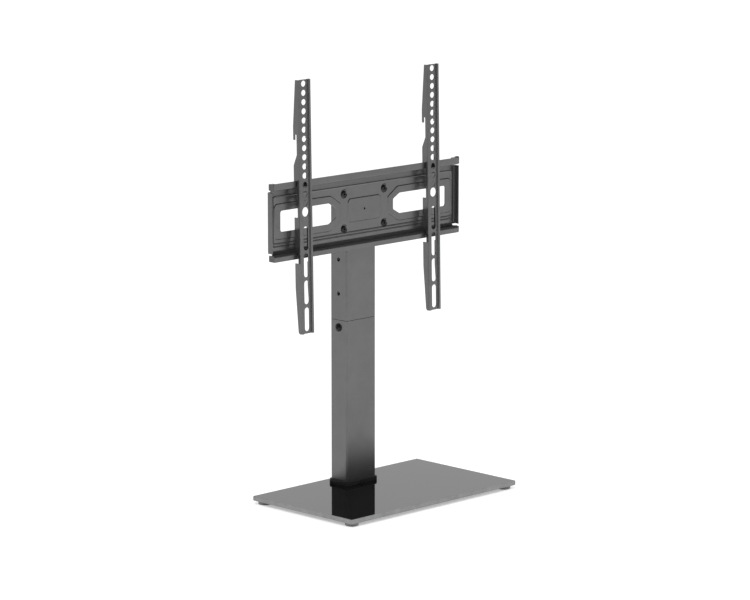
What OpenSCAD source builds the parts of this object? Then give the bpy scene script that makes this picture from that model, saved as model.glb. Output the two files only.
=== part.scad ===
// TV stand with mount: glass base, sliding rectangular column, pressed mount plate and two hooked arms.
// X runs along the rails, +Y points to the back, +Z up. The origin is on the floor under the glass centre.

/* [Glass base] */
// Length of the glass plate
glass_l = 400; // [340:5:520]
// Depth of the glass plate
glass_d = 240; // [225:5:320]
// Thickness of the glass plate
glass_t = 8; // [6:1:12]
// Radius of the upright corners of the glass
glass_corner_r = 6; // [3:0.5:20]
// Diameter of a rubber foot
foot_dia = 24; // [18:1:30]
// Height of a rubber foot
foot_h = 6; // [6:0.5:12]
// From each edge of the glass to the centre of a foot
foot_inset = 15; // [15:1:40]

/* [Base fixing] */
// Length of the steel plate under the glass
base_plate_l = 130; // [90:5:200]
// Depth of the steel plate under the glass
base_plate_d = 70; // [50:2:80]
// Thickness of the steel plate under the glass
base_plate_t = 1.5; // [1:0.1:2]
// Thickness of the gaskets on both sides of the glass
gasket_t = 0.8; // [0.5:0.1:1]
// Distance between the base bolts along the rails
base_bolt_x = 44; // [34:1:48]
// Distance between the base bolts front to back
base_bolt_y = 18; // [15:1:19]
// Thickness of the threaded plate welded in the foot of the column
foot_plate_t = 8; // [5:0.5:12]

/* [Column] */
// Width of the column, along the rails
col_w = 70; // [60:1:80]
// Depth of the column, front to back
col_d = 40; // [38:1:50]
// Wall of the column tubes
col_t = 1.5; // [1.2:0.1:2]
// Outer corner radius of the column tubes
col_r = 3.5; // [3.2:0.1:6]
// From the back edge of the glass to the back of the column
col_back_gap = 21.5; // [20:0.5:60]
// Length of the lower tube
lower_l = 287.2; // [240:0.2:400]
// Length of the upper tube
upper_l = 237.7; // [220:0.1:300]
// Gap that shows as the seam between the two tubes
seam_gap = 0.3; // [0.2:0.1:0.5]
// Width of the collar round the foot of the column
collar_w = 3.2; // [2:0.1:6]
// Height of the collar
collar_h = 8; // [5:0.5:14]

/* [Height setting] */
// Distance between two height holes
step_pitch = 59; // [40:1:60]
// From the seam down to the height screw
screw_drop = 13; // [10:0.5:20]
// Diameter of a height hole
step_hole_dia = 6.6; // [6.4:0.1:7]
// Wall of the inner mast
mast_t = 2; // [1.5:0.1:3]
// Running clearance between the mast and the tubes
mast_clear = 0.3; // [0.3:0.05:0.5]
// How far the mast reaches down into the lower tube
mast_down = 148; // [100:1:160]
// From the plug of the column cap down to the top of the mast
mast_room = 30; // [20:0.5:45]

/* [Mount plate] */
// Length of the rails over their end caps
rail_l = 445; // [430:1:520]
// Length of the mount plate over its side flanges
plate_l = 448.6; // [448.6:0.1:450]
// Sheet thickness of the mount plate
sheet_t = 2; // [1.5:0.1:2.5]
// Centre of the mount plate above the glass
plate_rise = 480.5; // [470:0.5:490]
// Half the clear height between the rails
rail_gap_half = 54; // [52:0.5:60]
// Height of a rail's upright lip
lip_h = 12; // [10:0.5:16]
// From the front of a lip to the front of the panel
shelf_d = 12.3; // [11:0.1:14]
// Depth of each pressed step
press_d = 1.2; // [1:0.1:1.9]
// Depth of the side flanges
side_flange_d = 10; // [6:0.5:11]
// Inner end of a window from the plate's centre
window_in = 69; // [66:1:90]
// Outer end of a window from the plate's centre
window_out = 197.5; // [180:0.5:197.5]
// Half the height of a window
window_half = 17.8; // [14:0.1:20]
// Width of the pressed frame above and below a window
frame_w = 13; // [10:0.1:13]
// Width of the pressed frame at a window's inner tip
frame_tip_w = 13; // [12:0.5:19]
// Width of the pressed frame at a window's outer end
frame_end_w = 15; // [8:0.5:15]
// Distance between the plate bolts along the rails
plate_bolt_x = 96; // [94:1:98]
// Distance between the plate bolts upright
plate_bolt_z = 60; // [56:1:64]
// Width of the raised field in the middle
field_w = 80; // [60:1:80]
// Height of the raised field in the middle
field_h = 42; // [30:1:44]
// Length of a rail end cap
cap_l = 9; // [6:0.5:12]

/* [Head bracket] */
// Width of the thick plate behind the mount plate
bracket_w = 124; // [116:1:160]
// Height of that plate
bracket_h = 78; // [74:1:80]
// Thickness of that plate
bracket_t = 5; // [4:0.5:8]

/* [Arms] */
// Length of an arm
arm_l = 428; // [420:1:440]
// Width of an arm
arm_w = 29.5; // [28:0.5:32]
// Sheet thickness of an arm
arm_t = 1.5; // [1.2:0.1:1.8]
// Width of the ridge along each edge of an arm
ridge_w = 5.5; // [5:0.1:6]
// Depth of the web behind the ridges
web_d = 3; // [2:0.1:3.2]
// From the left end of the rails to the middle of the left arm
left_arm_inset = 67.5; // [25:0.5:130]
// From the right end of the rails to the middle of the right arm
right_arm_inset = 71; // [25:0.5:130]
// Lean of the hanging arms, tops to the back, in degrees
arm_lean = 1; // [0:0.1:1.5]
// From the top of an arm to its first hole
first_hole_drop = 7; // [7:0.5:8]
// Height of the hole pattern that the round holes give
pattern_h = 200; // [190:1:202]
// Diameter of the round holes and width of the narrow slots
arm_hole_dia = 10.2; // [8:0.1:11]
// Length of a narrow slot
slot_l = 40.3; // [36:0.1:42]
// Length of the wide hole above the slots
wide_slot_l = 15.8; // [14.2:0.1:16]
// Width of the wide hole
wide_slot_w = 14; // [12:0.1:14]
// Metal left between two slots
slot_gap = 5.5; // [4:0.1:5.5]
// Metal left between the slots and the wide hole
wide_slot_gap = 16.5; // [10:0.1:16.5]

/* [Hidden] */
$fn = 48;
cut = 1;
fit_clear = 0.1;
thread_clear = 0.1;
slide_clear = 0.3;

metal_color = [0.36, 0.36, 0.37];
black_color = [0.08, 0.08, 0.08];
rubber_color = [0.13, 0.13, 0.13];
zinc_color = [0.6, 0.6, 0.62];

// Foot
foot_edge_r = 1.5;

// Base stack, from the feet up
glass_z = foot_h;
glass_top_z = glass_z + glass_t;
lower_gasket_z = glass_z - gasket_t;
base_plate_z = lower_gasket_z - base_plate_t;
base_plate_r = 8;
base_bolt_dia = 6;
base_hole_dia = 6.6;
base_head_dia = 11;
base_head_h = 2;
base_washer_dia = 12;
base_washer_t = 0.8;
base_washer_z = base_plate_z - base_washer_t;
base_head_z = base_washer_z - base_head_h;
base_socket_dia = 4.6;
base_socket_d = 1.2;
bush_dia = 10;
column_z = glass_top_z + gasket_t;
base_bolt_end = 1;
base_bolt_top_z = column_z + foot_plate_t - base_bolt_end;

// Column
col_y = glass_d / 2 - col_back_gap - col_d / 2;
col_front_y = col_y - col_d / 2;
seam_z = column_z + lower_l;
upper_z = seam_z + seam_gap;
upper_top_z = upper_z + upper_l;
tube_in_w = col_w - 2 * col_t;
tube_in_d = col_d - 2 * col_t;
tube_in_r = col_r - col_t;
tube_least_r = 0.3;
collar_top_r = 2.4;
collar_steps = 6;
collar_clear = 0.3;
col_cap_t = 2;
col_cap_plug_h = 10;

// Mast, with one threaded nut behind each height hole
mast_w = tube_in_w - 2 * mast_clear;
mast_d = tube_in_d - 2 * mast_clear;
mast_r = tube_in_r - mast_clear;
mast_z = seam_z - mast_down;
mast_l = upper_top_z - col_cap_plug_h - mast_room - mast_z;
mast_in_w = mast_w - 2 * mast_t;
screw_z = seam_z - screw_drop;
nut_af = 10;
step_count = 1 + floor((mast_z + mast_l - nut_af - screw_z) / step_pitch);
nut_h = 5;
screw_dia = 6;
screw_washer_dia = 14.5;
screw_washer_t = 1.2;
screw_head_dia = 11;
screw_head_h = 3.4;
screw_rim_h = 0.8;
screw_socket_dia = 4.6;
screw_socket_d = 2;
screw_end = 1;

// Rail end caps
cap_wall = 1;
cap_d = 12;
cap_foot = 0.8;
cap_sink = 0.5;
cap_stop_h = 2.2;
cap_stop_d = 6.5;

// Mount plate, from the bracket forward
plate_z = glass_top_z + plate_rise;
zone_front_y = col_front_y - bracket_t - sheet_t;
panel_front_y = zone_front_y + press_d;
raised_front_y = zone_front_y - press_d;
lip_front_y = panel_front_y - shelf_d;
flange_front_y = panel_front_y - side_flange_d;
panel_back_y = panel_front_y + sheet_t;
lip_top_z = plate_z + rail_gap_half + lip_h;
sheet_half = rail_l / 2 - cap_wall;
plate_half = plate_l / 2;
zone_end = 9.5;
zone_half_l = plate_half - zone_end;
zone_edge = 10.5;
zone_half_h = rail_gap_half - zone_edge;
zone_r = 3;
relief_l = 5;
relief_h = 2.5;
flange_half_h = rail_gap_half - relief_h;
window_r = 4;
window_cham_x = 15.6;
window_cham_z = 9;
frame_in = window_in - frame_tip_w;
frame_out = window_out + frame_end_w;
frame_half = window_half + frame_w;
frame_cham_x = 24;
frame_cham_z = 16;
frame_r = 9;
field_r = 8;
centre_hole_dia = 3.5;
plate_hole_dia = 6.6;
plate_bolt_dia = 6;
plate_head_dia = 12;
plate_head_h = 3.2;
plate_rim_h = 1.2;
plate_socket_dia = 4.6;
plate_socket_d = 2;
plate_washer_dia = 12;
plate_washer_t = 1.2;
plate_bolt_end = 1.5;
weld_leg = 3.5;

// Arms: depths are measured back from the front of the ridges
arm_stand = 8;
arm_front_y = lip_front_y - arm_stand;
hook_seat_rise = 259.4;
arm_bottom_z = lip_top_z + slide_clear - hook_seat_rise;
shallow_d = 6.7;
full_d = 14.6;
web_half = arm_w / 2 - ridge_w;
lip_slot_back = arm_stand + sheet_t + slide_clear;
hook_drop = 8.5;
top_d = 8.3;
top_taper = 78;
upper_tip_t = 4.3;
upper_tip_rise = 327.6;
upper_slot_rise = 336.8;
neck_low_rise = 303;
neck_end_rise = 285;
tab_h = 58;
notch_h = 19.5;
catch_drop = 4.5;
catch_gap = 0.1;
catch_back_d = 6.7;
foot_taper = 78;
foot_d = 9;
foot_cut = 2.5;
foot_rise = 3;
tab_bottom_z = plate_z - rail_gap_half + slide_clear;
first_slot_rise = 4;
narrow_slots = 4;
wide_slot_rise = first_slot_rise + narrow_slots * (slot_l + slot_gap) - slot_gap + wide_slot_gap;
pattern_steps = 13;
hole_pitch = pattern_h / pattern_steps;
hole_web = 1;
hole_room = arm_l - first_hole_drop - wide_slot_rise - wide_slot_l - arm_hole_dia / 2 - hole_web;
hole_count = 1 + floor(hole_room / hole_pitch);
left_arm_x = left_arm_inset - rail_l / 2;
right_arm_x = rail_l / 2 - right_arm_inset;

// Rectangle with round corners, centred
module rounded_rect(l, d, r) {
    square([l - 2 * r, d], center = true);
    square([l, d - 2 * r], center = true);
    for (sx = [-1, 1], sy = [-1, 1])
        translate([sx * (l / 2 - r), sy * (d / 2 - r)]) circle(r);
}

// Rectangular tube along Z
module rounded_tube(l, d, r, wall, h) {
    difference() {
        linear_extrude(h) rounded_rect(l, d, r);
        translate([0, 0, -cut])
            linear_extrude(h + 2 * cut)
                rounded_rect(l - 2 * wall, d - 2 * wall, max(r - wall, tube_least_r));
    }
}

// Carries its child profile once round a rectangle with round corners; x runs out from the corner centres
module sweep_round(l, d, r) {
    for (sx = [0, 1], sy = [0, 1])
        mirror([sx, 0, 0]) mirror([0, sy, 0])
            translate([l / 2 - r, d / 2 - r, 0]) rotate_extrude(angle = 90) children();
    for (s = [0, 1]) mirror([s, 0, 0])
        translate([l / 2 - r, d / 2 - r, 0]) rotate([90, 0, 0]) linear_extrude(d - 2 * r) children();
    for (s = [0, 1]) mirror([0, s, 0])
        translate([r - l / 2, d / 2 - r, 0]) rotate([90, 0, 90]) linear_extrude(l - 2 * r) children();
}

// Outline with a chamfered inner end and round outer corners, drawn in by t
module window_shape(x_in, x_out, half_h, cham_x, cham_z, r, t = 0) {
    slope = atan2(cham_z, cham_x);
    in_x = x_in + t;
    cham_end = x_in + cham_x + t * tan(slope / 2);
    tip_half = half_h - cham_z - t * tan((90 - slope) / 2);
    h = half_h - t;
    corner_r = r - t;
    out_x = x_out - t - corner_r;
    polygon([
        [in_x, -tip_half], [cham_end, -h], [out_x, -h],
        [out_x, h], [cham_end, h], [in_x, tip_half]
    ]);
    translate([out_x, -h + corner_r]) square([corner_r, 2 * (h - corner_r)]);
    for (s = [-1, 1]) translate([out_x, s * (h - corner_r)]) circle(corner_r);
}

// Draws its 2D child upright, facing front, from y0 to y1
module upright(y0, y1) {
    translate([0, y1, plate_z]) rotate([90, 0, 0]) linear_extrude(y1 - y0) children();
}

// Hexagonal nut along Z
module hex_nut(af, h, bore) {
    difference() {
        cylinder(d = af / cos(30), h = h, $fn = 6);
        translate([0, 0, -cut]) cylinder(d = bore, h = h + 2 * cut);
    }
}

// Flat washer along Z
module washer(dia, t, bore) {
    difference() {
        cylinder(d = dia, h = t);
        translate([0, 0, -cut]) cylinder(d = bore, h = t + 2 * cut);
    }
}

// Domed screw along Z: head above 0, shank below
module domed_screw(dia, len, head_dia, head_h, rim_h, socket_dia, socket_d) {
    dome_h = head_h - rim_h;
    dome_r = (pow(head_dia / 2, 2) + pow(dome_h, 2)) / (2 * dome_h);
    difference() {
        union() {
            cylinder(d = head_dia, h = rim_h);
            intersection() {
                cylinder(d = head_dia, h = head_h);
                translate([0, 0, head_h - dome_r]) sphere(dome_r);
            }
        }
        translate([0, 0, head_h - socket_d]) cylinder(d = socket_dia, h = socket_d + cut, $fn = 6);
    }
    translate([0, 0, -len]) cylinder(d = dia, h = len);
}

module base_bolt_places() {
    for (sx = [-1, 1], sy = [-1, 1])
        translate([sx * base_bolt_x / 2, col_y + sy * base_bolt_y / 2, 0]) children();
}

module plate_bolt_places() {
    for (sx = [-1, 1], sz = [-1, 1])
        translate([sx * plate_bolt_x / 2, 0, plate_z + sz * plate_bolt_z / 2]) children();
}

module foot(sx, sy) {
    color(rubber_color)
        translate([sx * (glass_l / 2 - foot_inset), sy * (glass_d / 2 - foot_inset), 0])
            rotate_extrude()
                polygon([
                    [0, 0], [foot_dia / 2 - foot_edge_r, 0], [foot_dia / 2, foot_edge_r],
                    [foot_dia / 2, foot_h], [0, foot_h]
                ]);
}

module glass_base() {
    color(black_color) difference() {
        translate([0, 0, glass_z]) linear_extrude(glass_t) rounded_rect(glass_l, glass_d, glass_corner_r);
        base_bolt_places() translate([0, 0, glass_z - cut])
            cylinder(d = bush_dia + 2 * fit_clear, h = glass_t + 2 * cut);
    }
}

module base_plate() {
    color(metal_color) difference() {
        translate([0, col_y, base_plate_z])
            linear_extrude(base_plate_t) rounded_rect(base_plate_l, base_plate_d, base_plate_r);
        base_bolt_places() translate([0, 0, base_plate_z - cut])
            cylinder(d = base_hole_dia, h = base_plate_t + 2 * cut);
    }
}

module lower_gasket() {
    color(rubber_color) difference() {
        translate([0, col_y, lower_gasket_z])
            linear_extrude(gasket_t) rounded_rect(base_plate_l, base_plate_d, base_plate_r);
        base_bolt_places() translate([0, 0, lower_gasket_z - cut])
            cylinder(d = base_hole_dia, h = gasket_t + 2 * cut);
    }
}

module upper_gasket() {
    color(rubber_color) difference() {
        translate([0, col_y, glass_top_z]) linear_extrude(gasket_t) rounded_rect(col_w, col_d, col_r);
        base_bolt_places() translate([0, 0, glass_top_z - cut])
            cylinder(d = base_hole_dia, h = gasket_t + 2 * cut);
    }
}

module glass_bushes() {
    color(black_color) base_bolt_places()
        translate([0, 0, glass_z]) washer(bush_dia, glass_t, base_hole_dia);
}

module base_bolts() {
    color(zinc_color) base_bolt_places() {
        difference() {
            translate([0, 0, base_head_z]) cylinder(d = base_head_dia, h = base_head_h);
            translate([0, 0, base_head_z - cut])
                cylinder(d = base_socket_dia, h = base_socket_d + cut, $fn = 6);
        }
        translate([0, 0, base_washer_z]) cylinder(d = base_bolt_dia, h = base_bolt_top_z - base_washer_z);
    }
}

module base_washers() {
    color(zinc_color) base_bolt_places()
        translate([0, 0, base_washer_z]) washer(base_washer_dia, base_washer_t, base_hole_dia);
}

module column_foot_plate() {
    color(metal_color) difference() {
        translate([0, col_y, column_z])
            linear_extrude(foot_plate_t)
                rounded_rect(tube_in_w - 2 * fit_clear, tube_in_d - 2 * fit_clear, tube_in_r - fit_clear);
        base_bolt_places() translate([0, 0, column_z - cut])
            cylinder(d = base_bolt_dia + 2 * thread_clear, h = foot_plate_t + 2 * cut);
    }
}

module foot_collar() {
    inner = col_r + collar_clear;
    outer = inner + collar_w;
    round_at = outer - collar_top_r;
    color(black_color) translate([0, col_y, glass_top_z]) sweep_round(col_w, col_d, col_r)
        polygon(concat(
            [[inner, collar_h], [inner, 0], [outer, 0]],
            [for (i = [0 : collar_steps]) let (a = 90 * i / collar_steps)
                [round_at + collar_top_r * cos(a), collar_h - collar_top_r + collar_top_r * sin(a)]]
        ));
}

// Cuts a pair of side holes at height z, seen from the column's centre
module side_holes(z, dia) {
    translate([-col_w, col_y, z]) rotate([0, 90, 0]) cylinder(d = dia, h = 2 * col_w);
}

module lower_column() {
    color(metal_color) difference() {
        translate([0, col_y, column_z]) rounded_tube(col_w, col_d, col_r, col_t, lower_l);
        side_holes(screw_z, step_hole_dia);
    }
}

module inner_mast() {
    color(metal_color) difference() {
        translate([0, col_y, mast_z]) rounded_tube(mast_w, mast_d, mast_r, mast_t, mast_l);
        for (i = [0 : step_count - 1]) side_holes(screw_z + i * step_pitch, step_hole_dia);
    }
}

module mast_nuts() {
    color(zinc_color) for (i = [0 : step_count - 1], s = [-1, 1])
        translate([s * mast_in_w / 2, col_y, screw_z + i * step_pitch])
            rotate([0, -s * 90, 0]) hex_nut(nut_af, nut_h, screw_dia + 2 * thread_clear);
}

module height_screw(side) {
    seat = col_w / 2 + screw_washer_t;
    reach = seat - mast_in_w / 2 + nut_h + screw_end;
    color(black_color) translate([side * seat, col_y, screw_z]) rotate([0, side * 90, 0])
        domed_screw(
            screw_dia, reach, screw_head_dia, screw_head_h, screw_rim_h,
            screw_socket_dia, screw_socket_d
        );
}

module height_washer(side) {
    color(black_color) translate([side * col_w / 2, col_y, screw_z]) rotate([0, side * 90, 0])
        washer(screw_washer_dia, screw_washer_t, step_hole_dia);
}

module upper_column() {
    color(metal_color) difference() {
        translate([0, col_y, upper_z]) rounded_tube(col_w, col_d, col_r, col_t, upper_l);
        for (i = [1, 2]) side_holes(screw_z + i * step_pitch, step_hole_dia);
    }
}

module column_cap() {
    color(black_color) translate([0, col_y, upper_top_z]) {
        linear_extrude(col_cap_t) rounded_rect(col_w, col_d, col_r);
        translate([0, 0, -col_cap_plug_h]) linear_extrude(col_cap_plug_h)
            rounded_rect(tube_in_w - 2 * fit_clear, tube_in_d - 2 * fit_clear, tube_in_r - fit_clear);
    }
}

module head_bracket() {
    color(metal_color) {
        difference() {
            translate([-bracket_w / 2, col_front_y - bracket_t, plate_z - bracket_h / 2])
                cube([bracket_w, bracket_t, bracket_h]);
            plate_bolt_places() translate([0, col_front_y + cut, 0]) rotate([90, 0, 0])
                cylinder(d = plate_hole_dia, h = bracket_t + 2 * cut);
        }
        for (s = [0, 1]) mirror([s, 0, 0])
            translate([col_w / 2 + fit_clear, col_front_y, plate_z - bracket_h / 2])
                linear_extrude(min(bracket_h, upper_top_z - plate_z + bracket_h / 2))
                    polygon([[0, 0], [weld_leg, 0], [0, weld_leg + col_r]]);
    }
}

// Window frame and window outlines of the right half
module frame_shape(t = 0) {
    window_shape(frame_in, frame_out, frame_half, frame_cham_x, frame_cham_z, frame_r, t);
}

module window_cut() {
    window_shape(window_in, window_out, window_half, window_cham_x, window_cham_z, window_r);
}

// Everything that is pressed forward from the zone: both window frames and the middle field
module raised_shapes(t = 0) {
    frame_shape(t);
    mirror([1, 0]) frame_shape(t);
    rounded_rect(field_w - 2 * t, field_h - 2 * t, field_r - t);
}

module rail_profile() {
    translate([0, rail_gap_half]) square([shelf_d + sheet_t, sheet_t]);
    translate([0, rail_gap_half]) square([sheet_t, lip_h]);
}

module mount_plate() {
    zone_l = 2 * zone_half_l;
    zone_h = 2 * zone_half_h;
    panel_half = rail_gap_half + sheet_t;
    color(metal_color) difference() {
        union() {
            for (s = [0, 1]) translate([0, 0, plate_z]) mirror([0, 0, s])
                translate([-sheet_half, lip_front_y, 0]) rotate([90, 0, 90])
                    linear_extrude(2 * sheet_half) rail_profile();
            upright(panel_front_y, panel_back_y) difference() {
                union() {
                    square([2 * sheet_half, 2 * panel_half], center = true);
                    square([2 * plate_half, 2 * flange_half_h], center = true);
                }
                rounded_rect(zone_l - 2 * sheet_t, zone_h - 2 * sheet_t, zone_r);
            }
            upright(zone_front_y, panel_back_y) difference() {
                rounded_rect(zone_l, zone_h, zone_r + sheet_t);
                rounded_rect(zone_l - 2 * sheet_t, zone_h - 2 * sheet_t, zone_r);
            }
            upright(zone_front_y, zone_front_y + sheet_t) difference() {
                rounded_rect(zone_l - sheet_t, zone_h - sheet_t, zone_r + sheet_t / 2);
                raised_shapes(sheet_t);
            }
            upright(raised_front_y, zone_front_y + sheet_t) difference() {
                raised_shapes();
                raised_shapes(sheet_t);
            }
            upright(raised_front_y, raised_front_y + sheet_t) raised_shapes(sheet_t / 2);
            for (s = [0, 1]) mirror([s, 0, 0])
                translate([plate_half - sheet_t, flange_front_y, plate_z - flange_half_h])
                    cube([sheet_t, side_flange_d + sheet_t, 2 * flange_half_h]);
        }
        for (s = [0, 1]) mirror([s, 0, 0]) {
            upright(raised_front_y - cut, panel_back_y + cut) window_cut();
            for (z0 = [-rail_gap_half, flange_half_h])
                translate([sheet_half - relief_l, flange_front_y - cut, plate_z + z0])
                    cube([relief_l + cut, side_flange_d + sheet_t + 2 * cut, relief_h]);
        }
        plate_bolt_places() translate([0, panel_back_y, 0]) rotate([90, 0, 0])
            cylinder(d = plate_hole_dia, h = 2 * sheet_t + 2 * cut);
        translate([0, panel_back_y, plate_z]) rotate([90, 0, 0])
            cylinder(d = centre_hole_dia, h = 2 * press_d + sheet_t + 2 * cut);
    }
}

module plate_bolts() {
    reach = sheet_t + bracket_t + plate_washer_t + nut_h + plate_bolt_end;
    color(black_color) plate_bolt_places() translate([0, zone_front_y, 0]) rotate([90, 0, 0])
        domed_screw(
            plate_bolt_dia, reach, plate_head_dia, plate_head_h, plate_rim_h,
            plate_socket_dia, plate_socket_d
        );
}

module plate_washers() {
    color(zinc_color) plate_bolt_places() translate([0, col_front_y + plate_washer_t, 0]) rotate([90, 0, 0])
        washer(plate_washer_dia, plate_washer_t, plate_hole_dia);
}

module plate_nuts() {
    color(zinc_color) plate_bolt_places()
        translate([0, col_front_y + plate_washer_t + nut_h, 0]) rotate([90, 0, 0])
            hex_nut(nut_af, nut_h, plate_bolt_dia + 2 * thread_clear);
}

// Outline of an end wall from the side; a stop at its front stands above the lip
module cap_wall_shape(h, stop_h) {
    square([cap_d, h]);
    if (stop_h > 0) polygon([[0, 0], [cap_d, h], [cap_stop_d, h + stop_h], [0, h + stop_h]]);
}

// Cap of the right end of the top rail: end wall and the block behind the lip
module rail_cap(stop_h) {
    foot_z = rail_gap_half + cap_foot;
    top_z = rail_gap_half + lip_h - cap_sink;
    inner_z = rail_gap_half + sheet_t + fit_clear;
    translate([sheet_half + fit_clear, lip_front_y, foot_z]) rotate([90, 0, 90])
        linear_extrude(cap_wall - fit_clear) cap_wall_shape(top_z - foot_z, stop_h);
    translate([rail_l / 2 - cap_l, lip_front_y + sheet_t + fit_clear, inner_z])
        cube([cap_l, cap_d - sheet_t - fit_clear, top_z - inner_z]);
}

// Only the right end of the top rail has a stop
module rail_cap_at(sx, sz) {
    color(black_color) translate([0, 0, plate_z])
        mirror([sx < 0 ? 1 : 0, 0, 0]) mirror([0, 0, sz < 0 ? 1 : 0])
            rail_cap(sx > 0 && sz > 0 ? cap_stop_h : 0);
}

// Side flange of an arm: depth behind the ridge against height above the arm's foot
module flange_shape() {
    seat = lip_top_z + slide_clear - arm_bottom_z;
    tab_low = tab_bottom_z - arm_bottom_z;
    polygon([
        [0, 0], [foot_d - foot_cut, 0], [foot_d, foot_rise], [full_d, foot_taper],
        [full_d, tab_low - notch_h], [arm_t, tab_low - notch_h], [arm_t, tab_low - catch_drop],
        [shallow_d, tab_low - catch_drop], [shallow_d, tab_low], [full_d, tab_low],
        [full_d, tab_low + tab_h], [shallow_d, tab_low + tab_h], [shallow_d, seat], [lip_slot_back, seat],
        [lip_slot_back, seat - hook_drop], [full_d, seat - hook_drop], [full_d, neck_end_rise],
        [shallow_d, neck_low_rise], [shallow_d, upper_slot_rise],
        [full_d - upper_tip_t, upper_slot_rise], [full_d - upper_tip_t, upper_tip_rise],
        [full_d, upper_tip_rise], [full_d, arm_l - top_taper], [top_d, arm_l], [0, arm_l]
    ]);
}

// Slot along Z, cut through the web of an arm
module web_slot(z, len, w) {
    for (end = [w / 2, len - w / 2])
        translate([0, 0, z + end]) rotate([-90, 0, 0]) cylinder(d = w, h = web_d + arm_t + 2 * cut);
    translate([-w / 2, 0, z + w / 2]) cube([w, web_d + arm_t + 2 * cut, len - w]);
}

module arm() {
    difference() {
        union() {
            for (s = [0, 1]) mirror([s, 0, 0]) {
                translate([arm_w / 2 - arm_t, 0, 0])
                    rotate([90, 0, 90]) linear_extrude(arm_t) flange_shape();
                translate([web_half, 0, 0]) cube([ridge_w, arm_t, arm_l]);
                translate([web_half, 0, 0]) cube([arm_t, web_d + arm_t, arm_l]);
            }
            translate([-web_half, web_d, 0]) cube([2 * web_half, arm_t, arm_l]);
        }
        for (i = [0 : hole_count - 1])
            translate([0, -cut, arm_l - first_hole_drop - i * hole_pitch]) rotate([-90, 0, 0])
                cylinder(d = arm_hole_dia, h = web_d + arm_t + 2 * cut);
        translate([0, -cut, 0]) {
            for (i = [0 : narrow_slots - 1])
                web_slot(first_slot_rise + i * (slot_l + slot_gap), slot_l, arm_hole_dia);
            web_slot(wide_slot_rise, wide_slot_l, wide_slot_w);
        }
    }
}

// Plastic catch in the notches of both flanges, below the lower rail's shelf; it runs behind the web
module arm_catch() {
    low = tab_bottom_z - arm_bottom_z - notch_h + catch_gap;
    half = arm_w / 2;
    wall_back = web_half + arm_t + catch_gap;
    end_d = arm_t + catch_gap;
    middle_d = web_d + arm_t + catch_gap;
    translate([0, 0, low]) linear_extrude(notch_h - catch_drop - 2 * catch_gap) polygon([
        [-half, end_d], [-wall_back, end_d], [-wall_back, middle_d], [wall_back, middle_d],
        [wall_back, end_d], [half, end_d], [half, catch_back_d], [-half, catch_back_d]
    ]);
}

// An arm hangs from the top lip and leans about the back edge of its seat
module arm_place(x) {
    translate([x, arm_front_y + lip_slot_back, arm_bottom_z + hook_seat_rise]) rotate([-arm_lean, 0, 0])
        translate([0, -lip_slot_back, -hook_seat_rise]) children();
}

module arm_at(x) {
    color(metal_color) arm_place(x) arm();
}

module catch_at(x) {
    color(black_color) arm_place(x) arm_catch();
}

glass_base();
foot(-1, -1);  // foot_front_left
foot(1, -1);  // foot_front_right
foot(-1, 1);  // foot_back_left
foot(1, 1);  // foot_back_right
base_plate();
lower_gasket();
upper_gasket();
glass_bushes();
base_bolts();
base_washers();
column_foot_plate();
foot_collar();
lower_column();
inner_mast();
mast_nuts();
height_screw(-1);  // height_screw_left
height_screw(1);  // height_screw_right
height_washer(-1);  // height_washer_left
height_washer(1);  // height_washer_right
upper_column();
column_cap();
head_bracket();
mount_plate();
plate_bolts();
plate_washers();
plate_nuts();
rail_cap_at(-1, 1);  // rail_cap_top_left
rail_cap_at(1, 1);  // rail_cap_top_right
rail_cap_at(-1, -1);  // rail_cap_bottom_left
rail_cap_at(1, -1);  // rail_cap_bottom_right
arm_at(left_arm_x);  // left_arm
catch_at(left_arm_x);  // left_arm_catch
arm_at(right_arm_x);  // right_arm
catch_at(right_arm_x);  // right_arm_catch
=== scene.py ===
import math

import bpy
import numpy as np
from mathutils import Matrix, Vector
from mathutils.geometry import delaunay_2d_cdt


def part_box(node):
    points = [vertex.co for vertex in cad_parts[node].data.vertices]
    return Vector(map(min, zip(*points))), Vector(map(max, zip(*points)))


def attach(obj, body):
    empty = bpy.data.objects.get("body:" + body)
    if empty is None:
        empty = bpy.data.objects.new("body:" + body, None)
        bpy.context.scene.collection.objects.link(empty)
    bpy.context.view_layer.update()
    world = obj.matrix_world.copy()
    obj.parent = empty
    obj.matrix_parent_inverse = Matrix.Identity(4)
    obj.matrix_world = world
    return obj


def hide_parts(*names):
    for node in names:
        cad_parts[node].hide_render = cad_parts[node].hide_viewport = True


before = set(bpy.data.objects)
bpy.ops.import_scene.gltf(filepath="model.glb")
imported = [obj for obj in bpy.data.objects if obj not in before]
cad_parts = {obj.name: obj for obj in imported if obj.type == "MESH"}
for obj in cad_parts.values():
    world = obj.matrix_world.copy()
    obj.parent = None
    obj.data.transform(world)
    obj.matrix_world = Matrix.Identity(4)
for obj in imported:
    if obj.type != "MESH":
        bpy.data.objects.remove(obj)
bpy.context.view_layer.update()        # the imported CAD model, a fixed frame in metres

# TV stand with mount, dressed over its CAD frame. Lengths are written in millimetres,
# X runs along the rails, +Y is the back, +Z is up and the floor is at Z = 0.
mm = 0.001
scene = bpy.context.scene


# Outlines and paths

def boxOf(node):        # lowest and highest corner of a CAD node, in mm
    low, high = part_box(node)
    return np.array(low) / mm, np.array(high) / mm


def unitRows(rows):
    return rows / np.maximum(np.linalg.norm(rows, axis=-1, keepdims=True), 1e-12)


def leftOf(directions):        # each direction turned a quarter turn to the left
    return np.stack([-directions[..., 1], directions[..., 0]], -1)


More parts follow.
